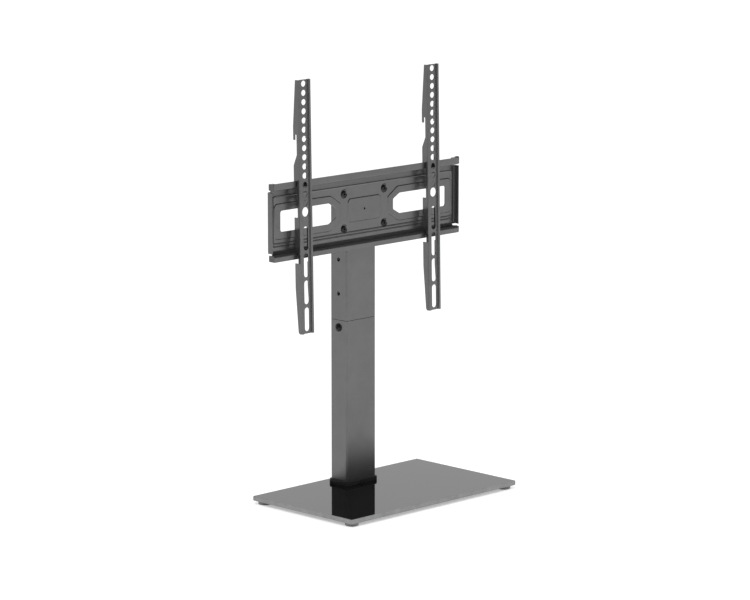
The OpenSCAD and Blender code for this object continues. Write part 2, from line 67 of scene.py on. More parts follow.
# Every corner of a closed outline becomes an arc that touches both of its sides.
def roundedLoop(corners, radii, turnStep=10.0):
    corners = np.asarray(corners, float)
    radii = np.broadcast_to(np.asarray(radii, float), len(corners))
    arriving = unitRows(corners - np.roll(corners, 1, 0))
    leaving = unitRows(np.roll(corners, -1, 0) - corners)
    side = (leftOf(arriving) * leaving).sum(1)
    turns = np.arctan2(side, (arriving * leaving).sum(1))
    pieces = []
    for corner, heading, turn, radius in zip(corners, arriving, turns, radii):
        if radius < 1e-6 or abs(turn) < 1e-4:
            pieces.append(corner[None])
            continue
        start = corner - heading * radius * abs(math.tan(turn / 2))
        count = max(1, math.ceil(abs(math.degrees(turn)) / turnStep))
        angles = np.linspace(0, turn, count + 1)
        sideways = leftOf(heading) * np.sign(turn)
        pieces.append(start + radius * (
            np.sin(np.abs(angles))[:, None] * heading + (1 - np.cos(angles))[:, None] * sideways))
    return np.concatenate(pieces)


def boxLoop(width, height, radius, centre=(0.0, 0.0), turnStep=10.0):
    halves = np.array([width, height]) / 2
    signs = np.array([[-1, -1], [1, -1], [1, 1], [-1, 1]])
    return roundedLoop(signs * halves, radius, turnStep) + np.array(centre)


def circleLoop(centre, radius, count=32):
    angles = np.linspace(0, 2 * np.pi, count, endpoint=False)
    return np.array(centre) + radius * np.stack([np.cos(angles), np.sin(angles)], 1)


def turnedLoop(loop, sense):        # an outline runs anticlockwise, a hole clockwise
    area = (loop[:, 0] * np.roll(loop[:, 1], -1) - loop[:, 1] * np.roll(loop[:, 0], -1)).sum()
    return loop if area * sense > 0 else loop[::-1]


# A loop moved to its left by a distance, with mitred corners.
def insetLoop(loop, distance):
    normals = leftOf(unitRows(np.roll(loop, -1, 0) - loop))
    before = np.roll(normals, 1, 0)
    mitre = (before + normals) / (1 + (before * normals).sum(1, keepdims=True))
    return loop + distance * mitre


# Distance of each point from the nearest side of the loops, and whether the even-odd rule puts it inside.
def loopDistance(points, loops):
    starts = np.concatenate(loops)
    steps = np.concatenate([np.roll(loop, -1, 0) - loop for loop in loops])
    squares = np.maximum((steps ** 2).sum(1), 1e-12)
    rise = np.where(np.abs(steps[:, 1]) < 1e-9, 1e-9, steps[:, 1])
    nearest = np.empty(len(points))
    inside = np.empty(len(points), bool)
    for block in np.array_split(np.arange(len(points)), max(1, len(points) // 2000)):
        offset = points[block, None] - starts
        share = np.clip((offset * steps).sum(2) / squares, 0, 1)
        gap = offset - share[..., None] * steps
        nearest[block] = np.sqrt((gap ** 2).sum(2).min(1))
        level = points[block, None, 1]
        spans = (starts[:, 1] > level) != (starts[:, 1] + steps[:, 1] > level)
        crossing = starts[:, 0] + (level - starts[:, 1]) * steps[:, 0] / rise
        inside[block] = (spans & (crossing > points[block, None, 0])).sum(1) % 2 == 1
    return nearest, inside


def signedDistance(points, loops):        # positive inside
    nearest, inside = loopDistance(points, loops)
    return np.where(inside, nearest, -nearest)


# A path of straight runs joined by round bends. Its places and headings follow from the length along it,
# which is zero in the middle of the path, or where run zeroRun passes the origin; bendLines are the lengths
# where a bend needs mesh lines, and low and high the lengths of its ends.
class BentPath:
    def __init__(self, corners, radii, perBend=6, zeroRun=None):
        corners = np.asarray(corners, float)
        heading = unitRows(np.diff(corners, axis=0))
        turns = np.arctan2((leftOf(heading[:-1]) * heading[1:]).sum(1), (heading[:-1] * heading[1:]).sum(1))
        radii = np.broadcast_to(np.asarray(radii, float), len(turns))
        reach = radii * np.abs(np.tan(turns / 2))
        runs = np.linalg.norm(np.diff(corners, axis=0), axis=1)
        runs = runs - np.append(0, reach) - np.append(reach, 0)
        arcs = radii * np.abs(turns)
        lengths = np.insert(runs[1:], np.arange(len(arcs)), arcs)
        self.starts = np.append(0, np.cumsum(np.append(runs[0], lengths)))
        begin = np.concatenate([corners[:1], corners[1:-1] + heading[1:] * reach[:, None]])
        bendBegin = corners[1:-1] - heading[:-1] * reach[:, None]
        self.begin = np.insert(begin[1:], np.arange(len(arcs)), bendBegin, axis=0)
        self.begin = np.concatenate([begin[:1], self.begin])
        self.heading = np.insert(heading[1:], np.arange(len(arcs)), heading[:-1], axis=0)
        self.heading = np.concatenate([heading[:1], self.heading])
        self.curve = np.append(0, np.insert(np.zeros(len(arcs)), np.arange(len(arcs)), turns / arcs))
        self.zero = self.starts[-1] / 2
        if zeroRun is not None:
            run = 2 * zeroRun
            self.zero = self.starts[run] - self.begin[run] @ self.heading[run]
        share = np.linspace(0, 1, perBend + 1)
        bendStarts = self.starts[1:-1:2]
        self.bendLines = (bendStarts[:, None] + arcs[:, None] * share).ravel() - self.zero
        self.low, self.high = -self.zero, self.starts[-1] - self.zero

    def at(self, length):        # place and heading of every given length
        along = np.asarray(length, float) + self.zero
        which = np.clip(np.searchsorted(self.starts, along, "right") - 1, 0, len(self.curve) - 1)
        gone = along - self.starts[which]
        curve = self.curve[which]
        turn = curve * gone
        safe = np.where(np.abs(curve) < 1e-9, 1.0, curve)
        forward = np.where(np.abs(curve) < 1e-9, gone, np.sin(turn) / safe)
        sideways = np.where(np.abs(curve) < 1e-9, 0.0, (1 - np.cos(turn)) / safe)
        heading = self.heading[which]
        place = self.begin[which] + forward[:, None] * heading + sideways[:, None] * leftOf(heading)
        direction = np.cos(turn)[:, None] * heading + np.sin(turn)[:, None] * leftOf(heading)
        return place, direction


# Rows that round off the rim of a sheet: distance in from the rim, drop below the skin, and tilt.
def roundRim(radius, steps=3):
    tilt = np.linspace(np.pi / 2, 0, steps + 1)
    return {"inset": radius * (1 - np.sin(tilt)), "drop": radius * (1 - np.cos(tilt)), "tilt": tilt}


def groundRim(width, crisp):        # a flat ground arris at 45 degrees, with crisp borders
    return {"inset": np.array([0, crisp, width - crisp, width]),
            "drop": np.array([width, width - crisp, crisp, 0]),
            "tilt": np.radians([90.0, 47.0, 43.0, 0.0])}


# A sheet cut to an outline with holes, bent or pressed, with thickness and finished rims.
# The flat blank is triangulated between its rims and crease lines; fold carries each flat point (u, v)
# to its place and the side that the skin faces; height is how far the press pushes it that way, and
# sink how much less the skin alone stands out, as in a dimple with a flat back.
def sheetMesh(outline, holes, creases, rim, thickness, fold, height=None, seam=None, sink=None):
    loops = [turnedLoop(outline, 1)] + [turnedLoop(hole, -1) for hole in holes]
    lines = [(insetLoop(loop, inset), True) for loop in loops for inset in rim["inset"]] + creases
    places, edges, count = [], [], 0
    for line, closed in lines:
        index = np.arange(len(line)) + count
        ahead = np.roll(index, -1)
        edges += np.stack([index, ahead], 1)[: len(line) if closed else -1].tolist()
        places += [Vector(point) for point in line]
        count += len(line)
    found = delaunay_2d_cdt(places, edges, [], 0, 1e-4, False)
    flat = np.array([tuple(place) for place in found[0]])
    triangles = np.array([tuple(face) for face in found[2]])
    centres = flat[triangles].mean(1)
    keep = loopDistance(centres, loops)[1]
    if seam is not None:
        keep &= np.abs(centres[:, 0]) < seam
    corners = flat[triangles]
    first, second = corners[:, 1] - corners[:, 0], corners[:, 2] - corners[:, 0]
    area = first[:, 0] * second[:, 1] - first[:, 1] * second[:, 0]
    keep &= np.abs(area) > 1e-9
    triangles = np.where(area[:, None] > 0, triangles, triangles[:, ::-1])[keep]
    used, triangles = np.unique(triangles, return_inverse=True)
    triangles = triangles.reshape(-1, 3)
    flat = flat[used]

    def skin(points, sunk=True):
        place, facing = fold(points[:, 0], points[:, 1])
        level = np.zeros(len(points)) if height is None else height(points)
        level = level - sink(points) if sunk and sink is not None else level
        return place + facing * level[:, None]

    delta = 0.01
    alongU, alongV = np.array([delta, 0]), np.array([0, delta])
    tangentU = unitRows(skin(flat + alongU) - skin(flat - alongU))
    tangentV = unitRows(skin(flat + alongV) - skin(flat - alongV))
    normal = unitRows(np.cross(tangentU, tangentV))
    facing = fold(flat[:, 0], flat[:, 1])[1]
    place = skin(flat)
    inset = loopDistance(flat, loops)[0]
    drop = np.interp(inset, rim["inset"], rim["drop"])
    tilt = np.interp(inset, rim["inset"], rim["tilt"])
    slope = np.stack([
        signedDistance(flat + alongU, loops) - signedDistance(flat - alongU, loops),
        signedDistance(flat + alongV, loops) - signedDistance(flat - alongV, loops)], 1)
    slope = unitRows(slope)
    outward = -unitRows(slope[:, :1] * tangentU + slope[:, 1:] * tangentV)
    front = place - facing * drop[:, None]
    back = skin(flat, False) - facing * (thickness - drop)[:, None]
    lean, upright = np.sin(tilt)[:, None], np.cos(tilt)[:, None]
    sides = np.concatenate([triangles[:, [0, 1]], triangles[:, [1, 2]], triangles[:, [2, 0]]])
    size = len(flat)
    code = np.sort(sides, 1)
    code = code[:, 0] * size + code[:, 1]
    borders = sides[np.isin(code, np.unique(code)[np.unique(code, return_counts=True)[1] == 1])]
    if seam is not None:
        borders = borders[(np.abs(np.abs(flat[borders, 0]) - seam) > 1e-3).any(1)]
    rims = np.stack([borders[:, 0], borders[:, 0] + size, borders[:, 1] + size, borders[:, 1]], 1)
    sheet = {
        "points": np.concatenate([front, back]),
        "normals": np.concatenate([upright * normal + lean * outward, lean * outward - upright * normal]),
        "triangles": np.concatenate([triangles, triangles[:, ::-1] + size]),
        "quads": rims,
        "inset": np.concatenate([inset, inset]),
    }
    return weldedSheet(sheet) if seam is not None else sheet


def weldedSheet(sheet):        # points that share a place become one
    keys = np.round(sheet["points"] / 0.002).astype(np.int64)
    first, number = np.unique(keys, axis=0, return_index=True, return_inverse=True)[1:]
    number = number.ravel()
    return {"points": sheet["points"][first], "normals": sheet["normals"][first],
            "triangles": number[sheet["triangles"]], "quads": number[sheet["quads"]],
            "inset": sheet["inset"][first]}


# Rows of rings become a skin of quads; a ring closes round itself, and the rows may close too.
def ringMesh(rings, rowsClose=False, endsClosed=True):
    rings = np.asarray(rings, float)
    rows, around = rings.shape[:2]
    index = np.arange(rows * around).reshape(rows, around)
    ahead = np.roll(index, -1, 1)
    upper = np.roll(index, -1, 0)
    upperAhead = np.roll(upper, -1, 1)
    quads = np.stack([index, ahead, upperAhead, upper], -1)
    quads = quads if rowsClose else quads[:-1]
    caps = [] if rowsClose or not endsClosed else [index[0][::-1].tolist(), index[-1].tolist()]
    return {"points": rings.reshape(-1, 3), "quads": quads.reshape(-1, 4), "caps": caps}


# Frames that carry the local Z axis to an axis of the object.
axisFrames = {
    "up": np.eye(3),
    "down": np.array([[1, 0, 0], [0, -1, 0], [0, 0, -1.0]]),
    "front": np.array([[1, 0, 0], [0, 0, -1.0], [0, 1, 0]]),
    "back": np.array([[-1.0, 0, 0], [0, 0, 1], [0, 1, 0]]),
    "left": np.array([[0, 0, -1.0], [-1, 0, 0], [0, 1, 0]]),
    "right": np.array([[0, 0, 1.0], [1, 0, 0], [0, 1, 0]]),
}


# A turned shape: each row is (radius, height, share of hexagon). Radius times the hexagon's own radius
# at that angle where the share is one, and a circle where it is zero.
def turnedMesh(rows, centre, axis, around=48, closed=False):
    rows = np.array([tuple(row) + (0.0,) * (3 - len(row)) for row in rows], float)
    angles = np.linspace(0, 2 * np.pi, around, endpoint=False)
    hexagon = 1 / np.cos(np.mod(angles, np.pi / 3) - np.pi / 6)
    radius = rows[:, :1] * (1 + rows[:, 2:] * (hexagon - 1))
    local = np.stack([radius * np.cos(angles), radius * np.sin(angles),
                      np.broadcast_to(rows[:, 1:2], radius.shape)], -1)
    return ringMesh(local @ axisFrames[axis].T + np.array(centre), rowsClose=closed)


def joinMeshes(*meshes):        # several closed shells in one piece
    points, quads, triangles, caps, normals, count = [], [], [], [], [], 0
    for mesh in meshes:
        points.append(mesh["points"])
        quads.append(mesh.get("quads", np.zeros((0, 4), int)) + count)
        triangles.append(mesh.get("triangles", np.zeros((0, 3), int)) + count)
        caps += [[number + count for number in cap] for cap in mesh.get("caps", [])]
        normals.append(mesh["normals"] if "normals" in mesh else areaNormals(mesh))
        count += len(mesh["points"])
    return {"points": np.concatenate(points), "quads": np.concatenate(quads),
            "triangles": np.concatenate(triangles), "caps": caps, "normals": np.concatenate(normals)}


# A point's normal is the sum of the normals of its faces, each as long as the face is large.
def areaNormals(mesh):
    points = mesh["points"]
    total = np.zeros_like(points)
    quads = mesh.get("quads", np.zeros((0, 4), int))
    corner = points[quads]
    crossed = np.cross(corner[:, 2] - corner[:, 0], corner[:, 3] - corner[:, 1]) / 2
    np.add.at(total, quads.ravel(), np.repeat(crossed, 4, 0))
    for cap in mesh.get("caps", []):
        ring = points[cap]
        crossed = np.cross(ring, np.roll(ring, -1, 0)).sum(0) / 2
        total[cap] += crossed
    return unitRows(total)


def addPiece(name, mesh, body, nodes, material, edgeMaterial=None, edgeFaces=None):
    faces = mesh.get("triangles", np.zeros((0, 3), int)).tolist() + mesh["quads"].tolist()
    faces += mesh.get("caps", [])
    data = bpy.data.meshes.new(name)
    data.from_pydata((mesh["points"] * mm).tolist(), [], faces)
    data.polygons.foreach_set("use_smooth", np.ones(len(faces), bool))
    normals = mesh["normals"] if "normals" in mesh else areaNormals(mesh)
    data.normals_split_custom_set_from_vertices(normals.tolist())
    data.materials.append(material)
    if edgeMaterial is not None:
        data.materials.append(edgeMaterial)
        data.polygons.foreach_set("material_index", edgeFaces.astype(np.int32))
    data.update()
    piece = bpy.data.objects.new(name, data)
    scene.collection.objects.link(piece)
    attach(piece, body)
    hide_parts(*nodes)
    return piece


# Finishes

def addNode(tree, kind, links=(), **sockets):
    node = tree.nodes.new(kind)
    for name, value in sockets.items():
        setattr(node, name, value)
    for socket, source in links:
        if isinstance(source, bpy.types.NodeSocket):
            tree.links.new(source, node.inputs[socket])
        else:
            node.inputs[socket].default_value = source
    return node


def noiseOn(tree, coordinates, scale, detail, roughness=0.5, stretch=(1.0, 1.0, 1.0)):
    mapped = addNode(tree, "ShaderNodeMapping", [("Vector", coordinates), ("Scale", stretch)])
    return addNode(tree, "ShaderNodeTexNoise", [
        ("Vector", mapped.outputs["Vector"]), ("Scale", scale), ("Detail", detail), ("Roughness", roughness)
    ]).outputs["Fac"]


def spread(tree, value, low, high):        # a noise value stretched over a range
    return addNode(tree, "ShaderNodeMapRange", [
        ("Value", value), ("From Min", 0.3), ("From Max", 0.7), ("To Min", low), ("To Max", high)
    ]).outputs["Result"]


# Colour mottles slowly, roughness drifts and shows fine wiping marks, and a fine grain lifts the surface.
def makeFinish(name, look):
    material = bpy.data.materials.new(name)
    material.use_nodes = True
    tree = material.node_tree
    shader = tree.nodes["Principled BSDF"]
    place = addNode(tree, "ShaderNodeTexCoord").outputs["Object"]
    mottle = noiseOn(tree, place, look["mottleScale"], 3, 0.55, look.get("stretch", (1.0, 1.0, 1.0)))
    share = spread(tree, mottle, 0.0, 1.0)
    colour = addNode(tree, "ShaderNodeMix", data_type="RGBA")
    tree.links.new(share, colour.inputs[0])
    colour.inputs[6].default_value = (*look["dark"], 1)
    colour.inputs[7].default_value = (*look["light"], 1)
    tree.links.new(colour.outputs[2], shader.inputs["Base Color"])
    wiping = noiseOn(tree, place, look["wipeScale"], 4, 0.6, look.get("stretch", (1.0, 1.0, 1.0)))
    tree.links.new(spread(tree, wiping, *look["roughness"]), shader.inputs["Roughness"])
    grain = noiseOn(tree, place, look["grainScale"], 2)
    bump = addNode(tree, "ShaderNodeBump", [
        ("Strength", look["grainStrength"]), ("Distance", look["grainDepth"] * mm), ("Height", grain)])
    tree.links.new(bump.outputs["Normal"], shader.inputs["Normal"])
    shader.inputs["Metallic"].default_value = look["metallic"]
    shader.inputs["Specular IOR Level"].default_value = look.get("specular", 0.5)
    shader.inputs["Coat Weight"].default_value = look.get("coat", 0.0)
    shader.inputs["Coat Roughness"].default_value = look.get("coatRoughness", 0.1)
    return material


finishes = {
    "darkSteel": makeFinish("dark_steel", {
        "dark": (0.143, 0.143, 0.144), "light": (0.157, 0.157, 0.158), "mottleScale": 9,
        "roughness": (0.29, 0.36), "wipeScale": 60, "metallic": 0.85,
        "grainScale": 1400, "grainDepth": 0.02, "grainStrength": 0.2}),
    "blackGlass": makeFinish("black_glass", {
        "dark": (0.004, 0.004, 0.0045), "light": (0.007, 0.007, 0.0075), "mottleScale": 5,
        "roughness": (0.02, 0.05), "wipeScale": 30, "metallic": 0.0, "specular": 0.3,
        "grainScale": 700, "grainDepth": 0.01, "grainStrength": 0.05}),
    "glassEdge": makeFinish("glass_edge", {
        "dark": (0.20, 0.205, 0.20), "light": (0.26, 0.265, 0.26), "mottleScale": 60,
        "roughness": (0.18, 0.30), "wipeScale": 300, "metallic": 0.0,
        "grainScale": 1500, "grainDepth": 0.03, "grainStrength": 0.3}),
    "rubber": makeFinish("foot_rubber", {
        "dark": (0.012, 0.012, 0.012), "light": (0.022, 0.022, 0.022), "mottleScale": 80,
        "roughness": (0.55, 0.75), "wipeScale": 200, "metallic": 0.0,
        "grainScale": 1600, "grainDepth": 0.08, "grainStrength": 0.5}),
    "footGloss": makeFinish("grey_foot_rubber", {
        "dark": (0.15, 0.15, 0.152), "light": (0.20, 0.20, 0.202), "mottleScale": 80,
        "roughness": (0.28, 0.40), "wipeScale": 200, "metallic": 0.0,
        "grainScale": 1600, "grainDepth": 0.04, "grainStrength": 0.3}),
    "blackPlastic": makeFinish("black_plastic", {
        "dark": (0.010, 0.010, 0.010), "light": (0.018, 0.018, 0.018), "mottleScale": 50,
        "roughness": (0.25, 0.38), "wipeScale": 150, "metallic": 0.0,
        "grainScale": 1300, "grainDepth": 0.05, "grainStrength": 0.35}),
    "darkPlastic": makeFinish("dark_plastic", {
        "dark": (0.085, 0.085, 0.087), "light": (0.10, 0.10, 0.102), "mottleScale": 50,
        "roughness": (0.30, 0.42), "wipeScale": 150, "metallic": 0.35,
        "grainScale": 1300, "grainDepth": 0.06, "grainStrength": 0.4}),
    "blackSteel": makeFinish("black_steel", {
        "dark": (0.020, 0.020, 0.021), "light": (0.035, 0.035, 0.036), "mottleScale": 120,
        "roughness": (0.22, 0.34), "wipeScale": 300, "metallic": 0.8,
        "grainScale": 1800, "grainDepth": 0.03, "grainStrength": 0.3}),
    "zincSteel": makeFinish("zinc_steel", {
        "dark": (0.46, 0.47, 0.50), "light": (0.58, 0.59, 0.61), "mottleScale": 90,
        "roughness": (0.22, 0.36), "wipeScale": 260, "metallic": 1.0,
        "grainScale": 1200, "grainDepth": 0.03, "grainStrength": 0.3}),
    "bareSteel": makeFinish("weld_steel", {
        "dark": (0.11, 0.11, 0.112), "light": (0.16, 0.16, 0.162), "mottleScale": 140,
        "roughness": (0.30, 0.45), "wipeScale": 400, "metallic": 0.85,
        "grainScale": 1500, "grainDepth": 0.06, "grainStrength": 0.4}),
}
print("finishes made:", len(finishes))


# Folds: where a flat blank goes, and the side that its skin faces

def levelFold(height):        # a level sheet, skin up
    def fold(u, v):
        return (np.stack([u, v, np.full_like(u, height)], 1),
                np.tile([0.0, 0.0, 1.0], (len(u), 1)))
    return fold


def frontFold(depth):        # an upright sheet, skin to the front
    def fold(u, v):
        return (np.stack([u, np.full_like(u, depth), v], 1),
                np.tile([0.0, -1.0, 0.0], (len(u), 1)))
    return fold


def uprightFold(path, shiftX=0.0, shiftY=0.0):        # a path seen from above, carried up along Z
    def fold(u, v):
        place, heading = path.at(u)
        return (np.stack([place[:, 0] + shiftX, place[:, 1] + shiftY, v], 1),
                np.stack([heading[:, 1], -heading[:, 0], np.zeros_like(u)], 1))
    return fold


def upLines(lengths, low, high):        # crease lines along the bends of a carried-up path
    return [(np.array([[length, low - 1], [length, high + 1]]), False) for length in lengths]


# Base

glassValues = {"cornerRadius": 2.2, "arris": 0.9, "crisp": 0.06, "boltHead": 11, "boreRadius": 5.1}


def boltPlaces(node, head):        # centres of the four bolts, from the box of their node
    low, high = boxOf(node)
    return [(x, y) for x in (low[0] + head / 2, high[0] - head / 2)
            for y in (low[1] + head / 2, high[1] - head / 2)]


# A level sheet with bolt holes and a flat ground arris; faces between its skin and its back are the edge.
def makeGlass(values):
    low, high = boxOf("glass_base")
    holes = [circleLoop(place, values["boreRadius"])
             for place in boltPlaces("base_bolts", values["boltHead"])]
    outline = boxLoop(*(high - low)[:2], values["cornerRadius"], (low + high)[:2] / 2, 6)
    mesh = sheetMesh(outline, holes, [], groundRim(values["arris"], values["crisp"]),
                     high[2] - low[2], levelFold(high[2]))
    level = np.concatenate([mesh["points"][mesh[kind], 2].mean(1) for kind in ("triangles", "quads")])
    edge = (level < high[2] - 0.02) & (level > low[2] + 0.02)
    addPiece("glass_plate", mesh, "base", ["glass_base"],
             finishes["blackGlass"], finishes["glassEdge"], edge)


# Radius and height of the foot's turned profile, from the screw recess round to the top.
footProfile = [(2.2, 2.4), (2.4, 0.7), (3.0, 0.25), (3.6, 0.05), (9.4, 0.0), (10.2, 0.06), (10.9, 0.35),
               (11.35, 0.9), (11.5, 1.6), (11.6, 3.4), (11.75, 3.9), (12.0, 4.2), (12.0, 5.6), (11.85, 5.9),
               (11.6, 6.0), (6.0, 6.0)]


# The profile turned round the centre of each foot's CAD box.
def makeFeet(profile):
    for name in ("front_left", "front_right", "back_left", "back_right"):
        low, high = boxOf("foot_" + name)
        centre = (*((low + high) / 2)[:2], low[2])
        addPiece("foot_pad_" + name, turnedMesh(profile, centre, "up", 56), "base", ["foot_" + name],
                 finishes["footGloss"])


underValues = {"plateRadius": 8, "plateRim": 0.35, "boreRadius": 3.3, "boltHead": 11, "socketHalf": 2.0,
               "socketDepth": 1.2, "shankRadius": 3, "washerRim": 0.2}


def ringProfile(bore, radius, low, high, rim):        # a flat washer with eased rims
    return [(bore + rim, low), (radius - rim, low),
            (radius - 0.3 * rim, low + 0.3 * rim), (radius, low + rim),
            (radius, high - rim), (radius - 0.3 * rim, high - 0.3 * rim), (radius - rim, high),
            (bore + rim, high), (bore, high - rim), (bore, low + rim)]


# A level plate with round corners, and turned washers and bolts at the four places.
def makeUnderside(values):
    low, high = boxOf("base_plate")
    places = boltPlaces("base_bolts", values["boltHead"])
    outline = boxLoop(*(high - low)[:2], values["plateRadius"], (low + high)[:2] / 2)
    holes = [circleLoop(place, values["boreRadius"]) for place in places]
    addPiece("under_plate", sheetMesh(outline, holes, [], roundRim(values["plateRim"]),
                                      high[2] - low[2], levelFold(high[2])),
             "base", ["base_plate"], finishes["darkSteel"])
    low, high = boxOf("base_washers")
    radius = values["boltHead"] / 2
    rows = ringProfile(values["boreRadius"], radius + 0.5, 0, high[2] - low[2], values["washerRim"])
    addPiece("under_washers", joinMeshes(*[turnedMesh(rows, (*place, low[2]), "up", 40, closed=True)
                                           for place in places]),
             "base", ["base_washers"], finishes["zincSteel"])
    low, high = boxOf("base_bolts")
    washerLow = boxOf("base_washers")[0][2]
    headTall = washerLow - low[2]
    socket, shank = values["socketHalf"], values["shankRadius"]
    rows = [(shank - 0.5, -(high[2] - washerLow)), (shank, 0.5 - (high[2] - washerLow)), (shank, 0.0),
            (radius - 0.2, 0.0), (radius, 0.2), (radius, 0.4 * headTall), (0.94 * radius, 0.72 * headTall),
            (0.78 * radius, 0.93 * headTall), (0.6 * radius, headTall), (socket + 0.5, headTall),
            (socket + 0.1, headTall - 0.05, 1), (socket, headTall - 0.2, 1),
            (socket, headTall - values["socketDepth"], 1)]
    addPiece("under_bolts", joinMeshes(*[turnedMesh(rows, (*place, washerLow), "down") for place in places]),
             "base", ["base_bolts"], finishes["zincSteel"])


# Column

columnValues = {"wall": 1.5, "cornerRadius": 3.5, "rim": 0.4, "boreRadius": 3.3, "perBend": 8,
                "mastWall": 2, "mastRadius": 1.7, "stepPitch": 59, "steps": 4}


# A path round the rectangle, carried up; its two ends meet in a seam at the back.
def makeTube(name, node, body, values, wall, radius, boreHeights):
    low, high = boxOf(node)
    width, depth = (high - low)[:2]
    centre = (low + high) / 2
    path = BentPath([[0, depth / 2], [-width / 2, depth / 2], [-width / 2, -depth / 2],
                     [width / 2, -depth / 2], [width / 2, depth / 2], [0, depth / 2]],
                    radius, values["perBend"])
    seam = path.high
    spare = 10
    outline = np.array([[-seam - spare, low[2]], [seam + spare, low[2]],
                        [seam + spare, high[2]], [-seam - spare, high[2]]])
    holes = [circleLoop((side * seam / 2, height), values["boreRadius"]) for side in (-1, 1)
             for height in boreHeights]
    creases = upLines([*path.bendLines, -seam, seam], low[2], high[2])
    mesh = sheetMesh(outline, holes, creases, roundRim(values["rim"]), wall,
                     uprightFold(path, centre[0], centre[1]), seam=seam)
    return addPiece(name, mesh, body, [node], finishes["darkSteel"])


collarValues = {"columnRadius": 3.5, "clear": 0.3, "width": 3.2, "height": 8, "topRadius": 2.4}


# The column's outline moved outwards by each row's offset, at each row's height, closed into a ring.
def makeCollar(values):
    low, high = boxOf("foot_collar")
    tubeLow, tubeHigh = boxOf("lower_column")
    loop = boxLoop(*(tubeHigh - tubeLow)[:2], values["columnRadius"], (tubeLow + tubeHigh)[:2] / 2, 6)
    inner, outer = values["clear"], values["clear"] + values["width"]
    tall, rounding = high[2] - low[2], values["topRadius"]
    angles = np.radians(np.linspace(0, 90, 7))
    arc = [(outer - rounding + rounding * math.cos(turn), tall - rounding + rounding * math.sin(turn))
           for turn in angles]
    rows = [(inner, 0.2), (inner + 0.2, 0.0), (outer - 0.2, 0.0), (outer, 0.2), *arc,
            (inner + 0.2, tall), (inner, tall - 0.2)]
    rings = [np.column_stack([insetLoop(loop, -offset), np.full(len(loop), low[2] + height)])
             for offset, height in rows]
    addPiece("column_collar", ringMesh(rings, rowsClose=True), "base", ["foot_collar"],
             finishes["blackPlastic"])


capValues = {"radius": 3.5, "plate": 2, "plugInset": 1.6, "ease": 0.9}


# The same outline moved inwards by each row: a plug, then a plate with an eased top.
def makeColumnCap(values):
    low, high = boxOf("column_cap")
    loop = boxLoop(*(high - low)[:2], values["radius"], (low + high)[:2] / 2, 6)
    angles = np.radians(np.linspace(0, 90, 6))
    ease = values["ease"]
    rows = [(values["plugInset"] + 0.5, low[2]), (values["plugInset"], low[2] + 0.8),
            (values["plugInset"], high[2] - values["plate"]), (0.15, high[2] - values["plate"]),
            (0.0, high[2] - values["plate"] + 0.15)]
    rows += [(ease * (1 - math.cos(a)), high[2] - ease + ease * math.sin(a)) for a in angles]
    rings = [np.column_stack([insetLoop(loop, inset), np.full(len(loop), height)]) for inset, height in rows]
    addPiece("column_top_cap", ringMesh(rings), "head", ["column_cap"],
             finishes["blackPlastic"])


# The head's profile is a rim, a dome and a hexagon socket.
def headRows(shank, reach, radius, tall, rim, socketHalf, socketDepth):
    domeTall = tall - rim
    domeRadius = (radius ** 2 + domeTall ** 2) / (2 * domeTall)
    inner = socketHalf + 0.75
    shares = np.linspace(0.98, inner / radius, 7)
    dome = [(radius * share,
             rim + math.sqrt(domeRadius ** 2 - (radius * share) ** 2) - domeRadius + domeTall)
            for share in shares]
    top = dome[-1][1]
    return [(shank - 0.5, -reach), (shank, 0.6 - reach), (shank, 0.0), (radius - 0.25, 0.0), (radius, 0.25),
            (radius, rim - 0.1), *dome, (socketHalf + 0.35, top), (socketHalf + 0.1, top - 0.08, 1),
            (socketHalf, top - 0.25, 1), (socketHalf, top - socketDepth, 1)]


screwValues = {"shank": 3, "headRadius": 5.5, "headTall": 3.4, "rim": 0.8, "socketHalf": 2.0,
               "socketDepth": 2.0, "washerRadius": 7.25, "washerBore": 3.3, "washerRim": 0.3}


# A turned washer and a turned screw on each side, along X.
def makeHeightScrews(values):
    for side in ("left", "right"):
        low, high = boxOf("height_washer_" + side)
        centre = (low + high) / 2
        inner = high[0] if side == "left" else low[0]
        rows = ringProfile(values["washerBore"], values["washerRadius"], 0, high[0] - low[0],
                           values["washerRim"])
        washer = turnedMesh(rows, (inner, centre[1], centre[2]), side, 56, closed=True)
        addPiece("screw_washer_" + side, washer, "base", ["height_washer_" + side],
                 finishes["blackSteel"])
        screwLow, screwHigh = boxOf("height_screw_" + side)
        seat = low[0] if side == "left" else high[0]
        reach = (screwHigh - screwLow)[0] - values["headTall"]
        rows = headRows(values["shank"], reach, values["headRadius"], values["headTall"], values["rim"],
                        values["socketHalf"], values["socketDepth"])
        addPiece("screw_" + side, turnedMesh(rows, (seat, centre[1], centre[2]), side, 60),
                 "base", ["height_screw_" + side], finishes["blackSteel"])


def nutRows(half, tall, bore):        # a hexagon nut whose corners are turned off at both ends
    return [(bore + 0.4, 0.0), (half - 0.35, 0.0), (half - 0.05, 0.25, 0.55), (half, 0.5, 1),
            (half, tall - 0.5, 1), (half - 0.05, tall - 0.25, 0.55), (half - 0.35, tall), (bore + 0.4, tall),
            (bore, tall - 0.4), (bore, 0.4)]


nutValues = {"half": 5, "tall": 5, "bore": 3.1}


# A turned hexagon on each inner side of the mast at every step.
def makeMastNuts(values, stepHeights):
    low, high = boxOf("mast_nuts")
    middle = (low[1] + high[1]) / 2
    rows = nutRows(values["half"], values["tall"], values["bore"])
    nuts = [turnedMesh(rows, (low[0], middle, height), "right", 36, closed=True) for height in stepHeights]
    nuts += [turnedMesh(rows, (high[0], middle, height), "left", 36, closed=True) for height in stepHeights]
    addPiece("mast_nut_set", joinMeshes(*nuts), "base", ["mast_nuts"], finishes["zincSteel"])


